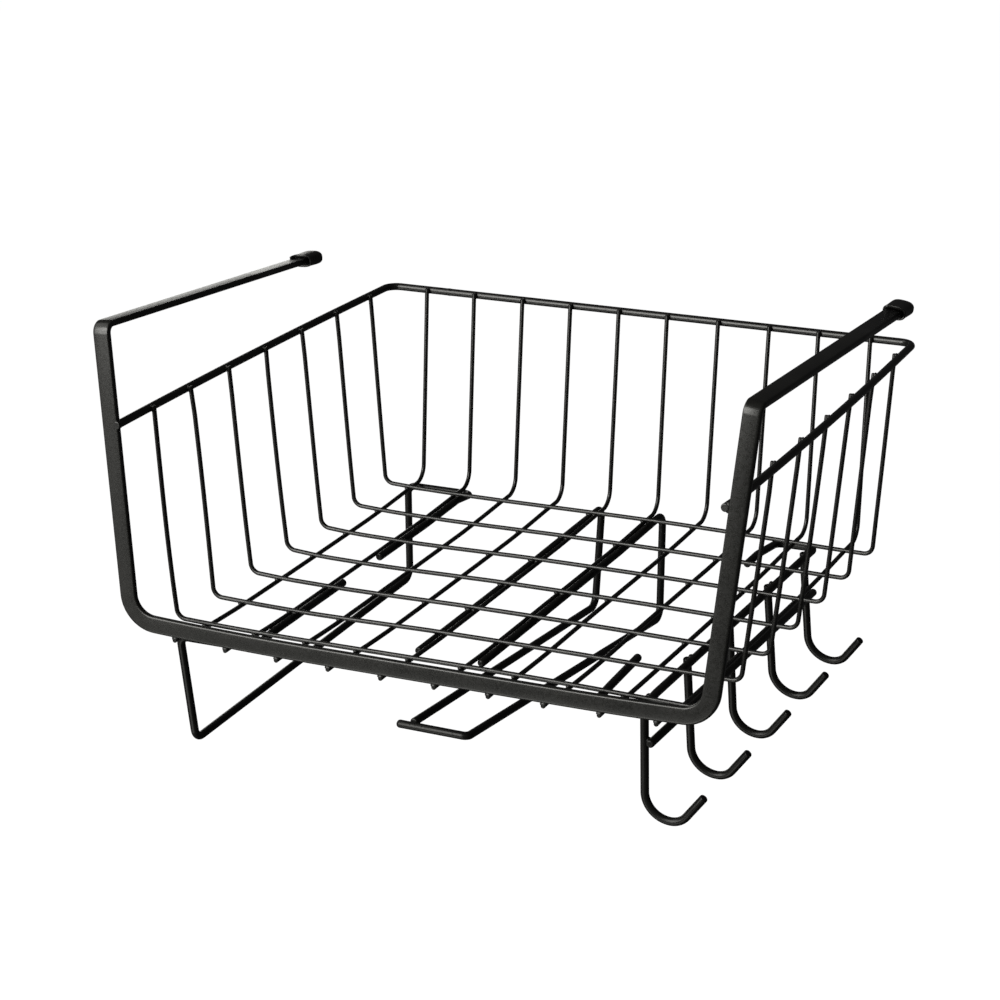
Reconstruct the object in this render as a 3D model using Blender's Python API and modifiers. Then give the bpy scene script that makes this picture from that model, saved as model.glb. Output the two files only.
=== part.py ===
"""Under-shelf wire basket with a towel bar, a roll holder and five hooks.

The basket slides onto a shelf board: two flat arms lie on top of the board,
and the wire basket hangs below it.  Everything is steel rod or flat strip,
spot-welded and powder-coated black, except the two push-on plastic arm caps.

Metres, +Z up, front towards -Y.  The origin lies midway between the two arms,
level with their undersides at the front, where the basket hangs.
"""
import math

import bmesh
import bpy
from mathutils import Matrix, Vector

MM = 0.001

# ------------------------------------------------------------------ dimensions (mm)
# working frame: X right, Y back from the face of the front strip,
# Z up from the lower edge of the front strip
GAP = 0.3                 # clearance kept between pieces that touch

STRIP_W = 11.3            # flat strip, width
STRIP_T = 4.0             # flat strip, thickness
STRIP_HALF = 200.0        # half width over the strip at its lower edge
CORNER_R = 24.5           # outer radius of the two lower corners
BOW_R = 2600.0            # the front bar bows up gently towards its corners ...
BOW_FROM_LEFT = 60.0      # ... from this distance from its middle on
BOW_FROM_RIGHT = 100.0
FLARE_LEFT = 0.064        # outward lean of the left upright, dx/dz
FLARE_RIGHT = 0.1175      # outward lean of the right upright
ARM_TOP_LEFT = 203.2      # height of the left arm's top face over the front
ARM_TOP_RIGHT = 202.1
ARM_LEN = 282.5           # reach of the arms behind the front face
ARM_DROP_LEFT = 0.071     # fall of the left arm towards its tip, dz/dy
ARM_DROP_RIGHT = 0.036    # fall of the right arm
ARM_SPLAY = 0.010         # both arms spread outwards a little, dx/dy
ARM_BEND_R = 3.5          # inner radius of the bend between upright and arm

CAP_LEN = 20.5            # arm cap, overall length
CAP_GRIP = 17.8           # depth of its socket
CAP_W = 15.2              # arm cap, width
CAP_H = 9.0               # arm cap, height
CAP_ROUND = 2.8           # its rounded edges

RIM_R = 2.5               # rim wire, radius
RIM_LEFT = (199.2, 201.3, 199.0)    # its left run's distance from the middle: front, half-way, rear
RIM_RIGHT = (203.3, 203.6, 199.4)
RIM_BACK = 384.6          # rim's rear centre-line
RIM_Z = 138.1             # rim's height
RIM_BEND = 9.5            # rim's corner radius

THIN_R = 1.4              # grid wires, radius
CROSS_N = 7               # cross wires, left to right over the floor
CROSS_FIRST = 41.7        # first cross wire, distance behind the front face
CROSS_SECOND = 89.4
CROSS_PITCH = 51.5        # from the second one on
CROSS_LEFT = 184.4        # half widths of the floor at the front, to the wires' centre
CROSS_RIGHT = 183.1
CROSS_SPREAD_LEFT = 0.005  # the floor widens towards the rear by this much per mm
CROSS_SPREAD_RIGHT = 0.011
CROSS_Z = -3.9            # cross wires' height on the floor
CROSS_BEND = 6.5
LIFT_FRONT = 1.4          # the floor rises a little towards the first cross wire
LIFT_REAR = 1.9           # and towards the last one
LONG_N = 10               # long wires, front to back over the floor
LONG_PITCH_FRONT = 36.2
LONG_PITCH_REAR = 37.35
LONG_SHIFT = -1.1
LONG_FLOOR_BACK = 375.7   # where the back wall would meet the floor
LONG_LEAN = 3.4           # the back wall's wires lean to the right by this much
LONG_BEND = 12.0
LONG_REAR_LIFT = 2.6      # the floor rises by this much at its rear edge
LONG_RISE_START = 8.0     # the long wires climb to the strip's lower edge here
LONG_RISE_END = 35.0

ROD_R = 2.5               # accessory rod, radius
ROD_BEND = 6.0

BAR_X_FRONT = -177.5      # towel bar
BAR_X_REAR = -179.0
BAR_FRONT = 32.0
BAR_LEAN = 14.9           # its front leg slants back towards the bar
BAR_BACK = 369.5
BAR_Z_FRONT = -87.5
BAR_Z_REAR = -82.0
BAR_LEG_FRONT_TIP = 160.0
BAR_LEG_BACK_TIP = 214.5

ROLL_LEFT_BACK = 371.5    # roll holder, left rod
ROLL_LEFT_Z_REAR = -82.9
ROLL_LEFT_Z_FRONT = -53.4
ROLL_LEFT_SWING = -4.6    # its rear upright leans sideways by this much
ROLL_RIGHT_BACK = 375.2   # right rod
ROLL_RIGHT_Z_REAR = -85.9
ROLL_RIGHT_Z_FRONT = -55.8
ROLL_BAR_END_Z = -55.1    # the crossbar rises to its free end
ROLL_RIGHT_SWING = -1.1
ROLL_RIGHT_TOE_IN = -7.0  # the right rod closes in towards the front
ROLL_ROD_FRONT = 61.0
ROLL_LEG_TIP_LEFT = 65.5
ROLL_LEG_TIP_RIGHT = 62.0
ROLL_BAR_BEND = 3.8
ROLL_BAR_OVERHANG = 8.2

RAIL_X = 139.2            # hook rail
RAIL_DROP = 0.0165        # the rail falls towards the rear, dz/dy
RAIL_FRONT = 32.8
RAIL_BACK = 367.5
RAIL_LEG_X_TIP = 107.2
RAIL_LEG_X_FRONT = 109.1
RAIL_LEG_X_REAR = 111.2
RAIL_FRONT_TIP = 113.0
RAIL_BACK_TIP = 304.0
LOWER_X_FRONT = 139.7
LOWER_X_REAR = 140.8
LOWER_Z_FRONT = -38.2
LOWER_Z_REAR = -43.3
LOWER_FRONT = 51.0
LOWER_BACK = 363.0

HOOK_N = 5
HOOK_FIRST = 56.1
HOOK_PITCH = 75.5
HOOK_ABOVE = -0.2         # the stems end this much above the upper rail's centre
HOOK_SHIFTS = (0.0, -2.2, 0.0, 0.0, 0.0)        # how far each stem sits off its even pitch
HOOK_BOTTOM = -89.6       # lowest point of the first hook's centre-line
HOOK_SAG = 1.5            # each hook further back hangs this much lower
HOOK_LEANS = (0.02, 0.108, 0.10, 0.12, 0.125)   # how each hook slants to the rear, dy/dz
HOOK_SPLAY = 0.010        # how the first hook slants outwards, dx/dz
HOOK_SPLAY_STEP = 0.007
HOOK_R = 17.2             # first part of the hook's bend
HOOK_R_TIP = 12.9         # second part, below the tip
HOOK_TIP_ANGLE = 52.3     # degrees above the horizontal
HOOK_TIP = 19.2           # straight end

# the working frame's point that becomes the origin
ORIGIN = (0.0, 160.0, (ARM_TOP_LEFT + ARM_TOP_RIGHT) / 2 - STRIP_T)

BLACK = (0.022, 0.022, 0.021, 1.0)
PLASTIC = (0.012, 0.012, 0.012, 1.0)


# ------------------------------------------------------------------ routes of the wires
def cross_y(k):
    """Distance of the k-th cross wire behind the front face, k from 1."""
    return CROSS_FIRST if k == 1 else CROSS_SECOND + (k - 2) * CROSS_PITCH


def long_x(k, y):
    """Sideways position of the k-th long wire at distance y; they fan out a little."""
    s = k - (LONG_N + 1) / 2
    pitch = LONG_PITCH_FRONT + (LONG_PITCH_REAR - LONG_PITCH_FRONT) * y / LONG_FLOOR_BACK
    return LONG_SHIFT + s * pitch


def flare(side):
    return FLARE_LEFT if side < 0 else FLARE_RIGHT


def bow_from(side):
    return BOW_FROM_LEFT if side < 0 else BOW_FROM_RIGHT


def bar_rise(x):
    """Height of the front bar's lower edge at x."""
    return max(0.0, abs(x) - bow_from(x)) ** 2 / (2 * BOW_R)


def lift(y):
    """The floor is not quite flat: its height over the middle part at distance y."""
    front = max(0.0, (95.0 - y) / (95.0 - CROSS_FIRST))
    rear = max(0.0, (y - 275.0) / 72.0)
    return LIFT_FRONT * front ** 1.5 + LIFT_REAR * rear ** 1.5


def inner_edge(side, z):
    """X of the upright's inner edge at height z."""
    return side * (STRIP_HALF + flare(side) * z - STRIP_W * math.sqrt(1 + flare(side) ** 2))


def norm(v):
    n = math.sqrt(sum(c * c for c in v))
    return tuple(c / n for c in v)


def sub(a, b):
    return tuple(p - q for p, q in zip(a, b))


def add(a, b, s=1.0):
    return tuple(p + s * q for p, q in zip(a, b))


def dot(a, b):
    return sum(p * q for p, q in zip(a, b))


def route(corners, radius, per_quarter=5):
    """Centre-line through the corners, each inner corner turned with the radius."""
    radii = radius if isinstance(radius, (list, tuple)) else [radius] * len(corners)
    out = [corners[0]]
    for i in range(1, len(corners) - 1):
        p, a, b = corners[i], corners[i - 1], corners[i + 1]
        u, v = norm(sub(a, p)), norm(sub(b, p))
        ang = math.acos(max(-1.0, min(1.0, dot(u, v))))
        turn = math.pi - ang
        if turn < 0.02 or radii[i] <= 0:
            out.append(p)
            continue
        cut = radii[i] / math.tan(ang / 2)
        mid = norm(add(u, v))
        centre = add(p, mid, radii[i] / math.sin(ang / 2))
        start = sub(add(p, u, cut), centre)
        e1 = norm(start)
        end = sub(add(p, v, cut), centre)
        e2 = sub(end, add((0.0, 0.0, 0.0), e1, dot(end, e1)))
        e2 = norm(e2)
        steps = max(1, int(round(per_quarter * turn / (math.pi / 2))))
        for j in range(steps + 1):
            t = turn * j / steps
            out.append(add(add(centre, e1, radii[i] * math.cos(t)), e2, radii[i] * math.sin(t)))
    out.append(corners[-1])
    return out


LONG_Z = CROSS_Z - THIN_R - GAP - THIN_R          # long wires lie below the cross wires
LEG_Z = CROSS_Z - THIN_R - GAP - ROD_R            # rods welded below the cross wires
UNDER_Z = LONG_Z - THIN_R - GAP - ROD_R           # rods that pass below the long wires
UNDER_FRONT = UNDER_Z + 1.2                       # the same at the front, where the floor rises
BESIDE = THIN_R + GAP + ROD_R                     # rod beside a long wire
LEG_KNEE = 290.0                                  # behind this the legs follow the rising floor
LEG_LIFT = 1.9


def rim_x(side, y):
    """The rim's side runs bow outwards slightly: a parabola through three stations."""
    a, m, b = RIM_LEFT if side < 0 else RIM_RIGHT
    y0, y1, y2 = 34.0, 200.0, 379.0
    v = (a * (y - y1) * (y - y2) / ((y0 - y1) * (y0 - y2)) + m * (y - y0) * (y - y2) / ((y1 - y0) * (y1 - y2))
         + b * (y - y0) * (y - y1) / ((y2 - y0) * (y2 - y1)))
    return side * v


RIM_STATIONS = (34.0, 90.0, 150.0, 210.0, 270.0, 330.0)


def rim_route():
    """The left end butts against the back of its upright, the right one lies beside its inner edge."""
    butt = STRIP_T + GAP
    right = inner_edge(1, RIM_Z) - GAP - RIM_R
    pts = [(rim_x(-1, butt), butt, RIM_Z)]
    pts += [(rim_x(-1, y), y, RIM_Z) for y in RIM_STATIONS]
    pts += [(rim_x(-1, 379.0), RIM_BACK, RIM_Z), (rim_x(1, 379.0), RIM_BACK, RIM_Z)]
    pts += [(rim_x(1, y), y, RIM_Z) for y in reversed(RIM_STATIONS)]
    pts += [(right, 9.0, RIM_Z), (right, 0.2, RIM_Z)]
    n = len(RIM_STATIONS) - 1
    radii = [0.0, 0.0] + [0.0] * n + [RIM_BEND] * 2 + [0.0] * n + [30.0, 30.0, 0.0]
    return route(pts, radii)


def long_route(k):
    front, rear = long_x(k, 0.0), long_x(k, LONG_FLOOR_BACK)
    wall_top = RIM_BACK - RIM_R - GAP - THIN_R
    under_strip = bar_rise(front) - GAP - THIN_R
    pts = [(front, 0.2, under_strip), (front, LONG_RISE_START, under_strip),
           (long_x(k, LONG_RISE_END), LONG_RISE_END, LONG_Z + lift(CROSS_FIRST) + 0.1)]
    pts += [(long_x(k, y), y, LONG_Z + lift(y)) for y in (CROSS_FIRST, 68.0, 95.0, 280.0, 315.0, 347.0)]
    pts += [(rear, LONG_FLOOR_BACK, LONG_Z + LONG_REAR_LIFT), (rear + LONG_LEAN, wall_top, RIM_Z + RIM_R - 0.6)]
    return route(pts, [0, 12, 12, 0, 0, 0, 0, 0, 0, LONG_BEND, 0], 4)


def cross_route(k):
    y = cross_y(k)
    beside_rim = RIM_R + GAP + THIN_R
    left, right = CROSS_LEFT + CROSS_SPREAD_LEFT * y, CROSS_RIGHT + CROSS_SPREAD_RIGHT * y
    zt, zb = RIM_Z + RIM_R - 0.4, CROSS_Z + lift(y)
    pts = [(rim_x(-1, y) + beside_rim, y, zt), (-left, y, zb), (right, y, zb),
           (rim_x(1, y) - beside_rim, y, zt)]
    return route(pts, [0, CROSS_BEND, CROSS_BEND, 0], 4)


def bar_route():
    """Towel bar: two legs beside the second long wire, and a loop out to the left."""
    def leg(y):
        return long_x(2, y) + BESIDE
    # behind the floor the cross piece nests in the outside of the long wires' bend
    zb = UNDER_Z + 1.8
    pts = [(leg(BAR_LEG_FRONT_TIP), BAR_LEG_FRONT_TIP, LEG_Z), (leg(62.0), 62.0, LEG_Z),
           (leg(BAR_FRONT), BAR_FRONT, UNDER_FRONT), (BAR_X_FRONT, BAR_FRONT, UNDER_FRONT),
           (BAR_X_FRONT, BAR_FRONT + BAR_LEAN, BAR_Z_FRONT),
           (BAR_X_REAR, BAR_BACK + 1.0, BAR_Z_REAR), (BAR_X_REAR, BAR_BACK, zb),
           (leg(345.0), BAR_BACK, zb), (leg(345.0), 345.0, LEG_Z + LEG_LIFT * 0.8),
           (leg(LEG_KNEE), LEG_KNEE, LEG_Z), (leg(BAR_LEG_BACK_TIP), BAR_LEG_BACK_TIP, LEG_Z)]
    return route(pts, [0, 20, ROD_BEND, ROD_BEND, 9.0, 9.0, ROD_BEND, ROD_BEND, 12, 0, 0])


ROLL_BAR_Y = ROLL_ROD_FRONT - 2 * ROD_R - GAP - 0.2     # the crossbar at the front


def roll_left_x(y):
    return long_x(5, y) - BESIDE


def roll_right_x(y):
    return long_x(6, y) + BESIDE


def roll_left_route():
    front, rear = roll_left_x(ROLL_LEG_TIP_LEFT), roll_left_x(ROLL_LEFT_BACK)
    pts = [(front, ROLL_LEG_TIP_LEFT, LEG_Z), (roll_left_x(LEG_KNEE), LEG_KNEE, LEG_Z),
           (rear, ROLL_LEFT_BACK, LEG_Z + LEG_LIFT),
           (rear + ROLL_LEFT_SWING, ROLL_LEFT_BACK, ROLL_LEFT_Z_REAR),
           (front, ROLL_BAR_Y + ROD_R + GAP + 0.1, ROLL_LEFT_Z_FRONT)]
    return route(pts, [0, 0, 8.0, 8.0, 0])


def roll_right_route():
    """Right rod; its crossbar passes in front of the left rod and ends free."""
    front, rear = roll_right_x(ROLL_LEG_TIP_RIGHT), roll_right_x(ROLL_RIGHT_BACK)
    x_end = roll_left_x(ROLL_LEG_TIP_LEFT) - ROD_R - ROLL_BAR_OVERHANG
    pts = [(front, ROLL_LEG_TIP_RIGHT, LEG_Z), (roll_right_x(LEG_KNEE), LEG_KNEE, LEG_Z),
           (rear, ROLL_RIGHT_BACK, LEG_Z + LEG_LIFT),
           (rear + ROLL_RIGHT_SWING, ROLL_RIGHT_BACK, ROLL_RIGHT_Z_REAR),
           (front + ROLL_RIGHT_TOE_IN, ROLL_BAR_Y, ROLL_RIGHT_Z_FRONT), (x_end, ROLL_BAR_Y, ROLL_BAR_END_Z)]
    return route(pts, [0, 0, 8.0, 8.0, ROLL_BAR_BEND, 0])


def rail_z(y):
    """The upper rail's height: it hangs a little lower towards the rear."""
    return LEG_Z - RAIL_DROP * max(0.0, y - 62.0)


def rail_route():
    zb = rail_z(RAIL_BACK)
    pts = [(RAIL_LEG_X_TIP, RAIL_FRONT_TIP, LEG_Z), (RAIL_LEG_X_FRONT, 62.0, LEG_Z),
           (RAIL_LEG_X_FRONT, RAIL_FRONT, UNDER_FRONT), (RAIL_X, RAIL_FRONT, UNDER_FRONT), (RAIL_X, 62.0, LEG_Z),
           (RAIL_X, RAIL_BACK, zb), (RAIL_LEG_X_REAR, RAIL_BACK, zb),
           (RAIL_LEG_X_REAR, RAIL_BACK_TIP + 22.0, LEG_Z), (RAIL_LEG_X_REAR, RAIL_BACK_TIP, LEG_Z)]
    return route(pts, [0, 20, ROD_BEND, ROD_BEND, 20, ROD_BEND, ROD_BEND, 20, 0])


def lower_rail_route():
    return [(LOWER_X_FRONT, LOWER_FRONT, LOWER_Z_FRONT), (LOWER_X_REAR, LOWER_BACK, LOWER_Z_REAR)]


def hook_route(k):
    """J-hook on the inner side of both rails, open towards +X."""
    y = HOOK_FIRST + (k - 1) * HOOK_PITCH + HOOK_SHIFTS[k - 1]
    x = RAIL_X - 2 * ROD_R - GAP
    top = rail_z(y) + HOOK_ABOVE
    low = HOOK_BOTTOM - HOOK_SAG * (k - 1)
    lean, splay = HOOK_LEANS[k - 1], HOOK_SPLAY + HOOK_SPLAY_STEP * (k - 1)
    flat = [(0.0, top), (0.0, low + HOOK_R)]
    for j in range(1, 9):
        t = math.pi / 2 * j / 8
        flat.append((HOOK_R - HOOK_R * math.cos(t), low + HOOK_R - HOOK_R * math.sin(t)))
    a = math.radians(HOOK_TIP_ANGLE)
    for j in range(1, 4):
        t = a * j / 3
        flat.append((HOOK_R + HOOK_R_TIP * math.sin(t), low + HOOK_R_TIP - HOOK_R_TIP * math.cos(t)))
    u, v = flat[-1]
    flat.append((u + HOOK_TIP * math.cos(a), v + HOOK_TIP * math.sin(a)))
    return [(x + u + splay * (top - v), y + lean * (top - v), v) for u, v in flat]


# ------------------------------------------------------------------ scene set-up
def clear_scene():
    for ob in list(bpy.data.objects):
        bpy.data.objects.remove(ob, do_unlink=True)


def new_collection(name):
    col = bpy.data.collections.new(name)
    bpy.context.scene.collection.children.link(col)
    return col


def new_material(name, colour, roughness, metallic):
    mat = bpy.data.materials.new(name)
    mat.use_nodes = True
    bsdf = next(n for n in mat.node_tree.nodes if n.type == 'BSDF_PRINCIPLED')
    bsdf.inputs["Base Color"].default_value = colour
    bsdf.inputs["Roughness"].default_value = roughness
    bsdf.inputs["Metallic"].default_value = metallic
    mat.diffuse_color = colour
    return mat


def world(p):
    """Working frame in mm to the part's own frame in metres."""
    return Vector([(c - o) * MM for c, o in zip(p, ORIGIN)])


def wire(name, points, radius, col, mat, sides=2):
    """Round wire: a poly spline with a bevel, its origin at its first point."""
    first = world(points[0])
    cu = bpy.data.curves.new(name, 'CURVE')
    cu.dimensions = '3D'
    cu.bevel_depth = radius * MM
    cu.bevel_resolution = sides
    cu.use_fill_caps = True
    sp = cu.splines.new('POLY')
    sp.points.add(len(points) - 1)
    for sp_pt, p in zip(sp.points, points):
        q = world(p) - first
        sp_pt.co = (q.x, q.y, q.z, 1.0)
    sp.use_smooth = True
    ob = bpy.data.objects.new(name, cu)
    ob.location = first
    cu.materials.append(mat)
    col.objects.link(ob)
    return ob


# ------------------------------------------------------------------ flat strip
class Arm:
    """One arm's place: where the upright ends, the bend, and the arm's own axes."""

    def __init__(self, side):
        f = math.atan(flare(side))
        top = (ARM_TOP_LEFT if side < 0 else ARM_TOP_RIGHT) * MM
        drop = math.atan(ARM_DROP_LEFT if side < 0 else ARM_DROP_RIGHT)
        y_axis = Vector((0.0, 1.0, 0.0))
        self.axis = Vector((side * math.sin(f), 0.0, math.cos(f)))         # up the upright
        self.width = Vector((-side * math.cos(f), 0.0, math.sin(f)))       # towards the other upright
        # the upright's outer edge, run on downwards, meets the bar's level at STRIP_HALF;
        # the bar's bow and the lower corner's arc lead into it one after the other
        corner = world((side * STRIP_HALF, 0, 0))
        big = BOW_R - CORNER_R
        self.bow = math.asin(((STRIP_HALF - bow_from(side)) * math.cos(f) + BOW_R * math.sin(f) - CORNER_R) / big) - f
        self.turn = math.pi / 2 - f - self.bow
        cx = bow_from(side) + big * math.sin(self.bow)
        cz = BOW_R - big * math.cos(self.bow)
        self.corner = world((side * cx, 0, cz))
        foot = (cx - STRIP_HALF) * MM * math.sin(f) + cz * MM * math.cos(f)
        # easy-way bend; its hinge is turned a little, so that the arm spreads outwards
        self.hinge = (self.width + y_axis * ARM_SPLAY).normalized()
        self.bend = side * (math.pi / 2 + drop)
        outer_r = (ARM_BEND_R + STRIP_T) * MM
        reach = top / self.axis.z - outer_r * math.tan(abs(self.bend) / 2)
        self.upright = reach - foot                                        # straight length
        self.centre = corner + self.axis * reach + y_axis * outer_r
        rot = Matrix.Rotation(self.bend, 3, self.hinge)
        self.along = rot @ self.axis
        self.across = rot @ self.width
        self.up = rot @ Vector((0.0, -1.0, 0.0))
        start = self.centre + self.up * outer_r
        reach_y = ARM_LEN * MM + world((0, 0, 0)).y
        self.length = (reach_y - start.y) / self.along.y
        # middle of the strip's end face
        self.tip = (start + self.along * self.length + self.across * (STRIP_W * MM / 2)
                    - self.up * (STRIP_T * MM / 2))


def grow(bm, loop, vec):
    """Run the section straight on."""
    ret = bmesh.ops.extrude_edge_only(bm, edges=loop)
    new = [g for g in ret["geom"] if isinstance(g, bmesh.types.BMVert)]
    bmesh.ops.translate(bm, verts=new, vec=vec)
    return [g for g in ret["geom"] if isinstance(g, bmesh.types.BMEdge)]


def bend(bm, loop, centre, axis, angle, steps):
    """Turn the section about an axis."""
    for _ in range(steps):
        ret = bmesh.ops.extrude_edge_only(bm, edges=loop)
        new = [g for g in ret["geom"] if isinstance(g, bmesh.types.BMVert)]
        bmesh.ops.rotate(bm, verts=new, cent=centre, matrix=Matrix.Rotation(angle / steps, 3, axis))
        loop = [g for g in ret["geom"] if isinstance(g, bmesh.types.BMEdge)]
    return loop


def half_strip(bm, loop, side):
    """From the middle of the front bar out to one arm's tip."""
    arm = Arm(side)
    base = world((0, 0, 0))
    y_axis = Vector((0, 1, 0))
    run = side * bow_from(side) * MM
    loop = grow(bm, loop, Vector((run, 0, 0)))
    loop = bend(bm, loop, Vector((run, base.y, base.z + BOW_R * MM)), y_axis, -side * arm.bow, 6)
    # lower corner: the strip is bent edgewise
    loop = bend(bm, loop, arm.corner, y_axis, -side * arm.turn, 9)
    loop = grow(bm, loop, arm.axis * arm.upright)
    # easy-way bend back over the shelf board, then the arm
    loop = bend(bm, loop, arm.centre, arm.hinge, arm.bend, 6)
    return grow(bm, loop, arm.along * arm.length)


def front_frame(col, mat):
    bm = bmesh.new()
    p = world((0, 0, 0))
    w, t = STRIP_W * MM, STRIP_T * MM
    quad = [bm.verts.new((0, p.y, p.z)), bm.verts.new((0, p.y + t, p.z)),
            bm.verts.new((0, p.y + t, p.z + w)), bm.verts.new((0, p.y, p.z + w))]
    loop = [bm.edges.new((quad[i], quad[(i + 1) % 4])) for i in range(4)]
    for side in (-1, 1):
        half_strip(bm, list(loop), side)
    bmesh.ops.holes_fill(bm, edges=[e for e in bm.edges if e.is_boundary], sides=4)
    bmesh.ops.recalc_face_normals(bm, faces=bm.faces)
    me = bpy.data.meshes.new("front_frame")
    bm.to_mesh(me)
    bm.free()
    ob = bpy.data.objects.new("front_frame", me)
    me.materials.append(mat)
    col.objects.link(ob)
    return ob


# ------------------------------------------------------------------ arm caps
def box(name, size, centre, col, hidden=False):
    me = bpy.data.meshes.new(name)
    bm = bmesh.new()
    bmesh.ops.create_cube(bm, size=1.0)
    bmesh.ops.scale(bm, vec=Vector(size), verts=bm.verts)
    bmesh.ops.translate(bm, vec=Vector(centre), verts=bm.verts)
    bm.to_mesh(me)
    bm.free()
    ob = bpy.data.objects.new(name, me)
    col.objects.link(ob)
    if hidden:
        ob.hide_render = True
        ob.display_type = 'WIRE'
    return ob


def arm_cap(name, side, col, cutters, mat):
    """Moulded cap: an oval sleeve, closed at its rounded end, pushed on the arm's tip."""
    arm = Arm(side)
    rot = Matrix((arm.along.cross(arm.up), arm.along, arm.up)).transposed().to_4x4()
    frame = Matrix.Translation(arm.tip) @ rot
    end = (CAP_LEN - CAP_GRIP) * MM
    spare = 6 * MM                                # cut off again to leave a square mouth
    length = CAP_LEN * MM + spare
    ob = box(name, (CAP_W * MM, length, CAP_H * MM), (0, end - length / 2, 0), col)
    ob.data.materials.append(mat)
    bev = ob.modifiers.new("round", 'BEVEL')
    bev.width = CAP_ROUND * MM
    bev.segments = 3
    bev.limit_method = 'ANGLE'
    slot = box(name + "_slot", ((STRIP_W + 2 * GAP) * MM, 60 * MM, (STRIP_T + 2 * GAP) * MM),
               (0, GAP * MM - 30 * MM, 0), cutters, hidden=True)
    mouth = box(name + "_mouth", (40 * MM, 40 * MM, 40 * MM), (0, end - CAP_LEN * MM - 20 * MM, 0),
                cutters, hidden=True)
    for cut in (slot, mouth):
        cut.matrix_world = frame
        mod = ob.modifiers.new(cut.name, 'BOOLEAN')
        mod.operation = 'DIFFERENCE'
        mod.object = cut
        mod.solver = 'EXACT'
    ob.matrix_world = frame
    return ob


# ------------------------------------------------------------------ the basket
def build():
    clear_scene()
    col = new_collection("under_shelf_basket")
    cutters = new_collection("cutters")
    coat = new_material("black_powder_coat", BLACK, 0.42, 0.0)
    plastic = new_material("black_cap_plastic", PLASTIC, 0.35, 0.0)

    front_frame(col, coat)
    arm_cap("arm_cap_left", -1, col, cutters, plastic)
    arm_cap("arm_cap_right", 1, col, cutters, plastic)
    wire("rim_wire", rim_route(), RIM_R, col, coat, 3)
    for k in range(1, LONG_N + 1):
        wire("long_wire_%02d" % k, long_route(k), THIN_R, col, coat)
    for k in range(1, CROSS_N + 1):
        wire("cross_wire_%d" % k, cross_route(k), THIN_R, col, coat)
    wire("towel_bar", bar_route(), ROD_R, col, coat, 3)
    wire("roll_rod_left", roll_left_route(), ROD_R, col, coat, 3)
    wire("roll_rod_right", roll_right_route(), ROD_R, col, coat, 3)
    wire("hook_rail_upper", rail_route(), ROD_R, col, coat, 3)
    wire("hook_rail_lower", lower_rail_route(), ROD_R, col, coat, 3)
    for k in range(1, HOOK_N + 1):
        wire("hook_%d" % k, hook_route(k), ROD_R, col, coat, 3)


build()
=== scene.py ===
"""Looks of the under-shelf wire basket: smooth wires, weld nuggets, rounded strip, moulded caps.

The working frame is the one of the CAD source: millimetres, X right, Y back from the front
strip's face, Z up from its lower edge.  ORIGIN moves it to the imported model's frame.
"""
import math
import random

import bpy
import numpy as np
from mathutils import Matrix, Vector, noise

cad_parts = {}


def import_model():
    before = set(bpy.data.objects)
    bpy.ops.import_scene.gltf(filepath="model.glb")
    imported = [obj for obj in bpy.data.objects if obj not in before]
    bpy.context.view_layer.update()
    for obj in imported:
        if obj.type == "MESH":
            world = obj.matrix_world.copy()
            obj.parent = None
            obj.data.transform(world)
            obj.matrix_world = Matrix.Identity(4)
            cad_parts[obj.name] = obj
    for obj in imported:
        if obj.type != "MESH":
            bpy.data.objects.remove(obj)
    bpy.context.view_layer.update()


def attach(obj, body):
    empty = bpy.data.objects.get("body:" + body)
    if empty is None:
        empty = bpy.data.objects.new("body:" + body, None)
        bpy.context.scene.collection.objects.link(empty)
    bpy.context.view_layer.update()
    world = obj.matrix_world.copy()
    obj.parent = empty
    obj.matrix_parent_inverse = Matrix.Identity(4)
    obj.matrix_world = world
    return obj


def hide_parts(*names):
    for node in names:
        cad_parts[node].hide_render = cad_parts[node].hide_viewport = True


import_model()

MM = 0.001

# ------------------------------------------------------------------ dimensions, as in the CAD source
GAP = 0.3
SEAM_X = -150.7                   # the rim's butt weld, on its rear run
STRIP_W, STRIP_T, STRIP_HALF, CORNER_R = 11.3, 4.0, 200.0, 24.5
BOW_R, BOW_FROM_LEFT, BOW_FROM_RIGHT = 2600.0, 60.0, 100.0
FLARE_LEFT, FLARE_RIGHT = 0.064, 0.1175
ARM_TOP_LEFT, ARM_TOP_RIGHT, ARM_LEN = 203.2, 202.1, 282.5
ARM_DROP_LEFT, ARM_DROP_RIGHT, ARM_SPLAY, ARM_BEND_R = 0.071, 0.036, 0.010, 3.5
CAP_LEN, CAP_GRIP = 20.5, 17.8
RIM_R = 2.5
RIM_LEFT, RIM_RIGHT = (199.2, 201.3, 199.0), (203.3, 203.6, 199.4)
RIM_BACK, RIM_Z, RIM_BEND = 384.6, 138.1, 9.5
THIN_R = 1.4
CROSS_N, CROSS_FIRST, CROSS_SECOND, CROSS_PITCH = 7, 41.7, 89.4, 51.5
CROSS_LEFT, CROSS_RIGHT, CROSS_SPREAD_LEFT, CROSS_SPREAD_RIGHT = 184.4, 183.1, 0.005, 0.011
CROSS_Z, CROSS_BEND = -3.9, 6.5
LIFT_FRONT, LIFT_REAR = 1.4, 1.9
LONG_N, LONG_PITCH_FRONT, LONG_PITCH_REAR, LONG_SHIFT = 10, 36.2, 37.35, -1.1
LONG_FLOOR_BACK, LONG_LEAN, LONG_BEND, LONG_REAR_LIFT = 375.7, 3.4, 12.0, 2.6
LONG_RISE_START, LONG_RISE_END = 8.0, 35.0
ROD_R, ROD_BEND = 2.5, 6.0
BAR_X_FRONT, BAR_X_REAR, BAR_FRONT, BAR_LEAN, BAR_BACK = -177.5, -179.0, 32.0, 14.9, 369.5
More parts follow.
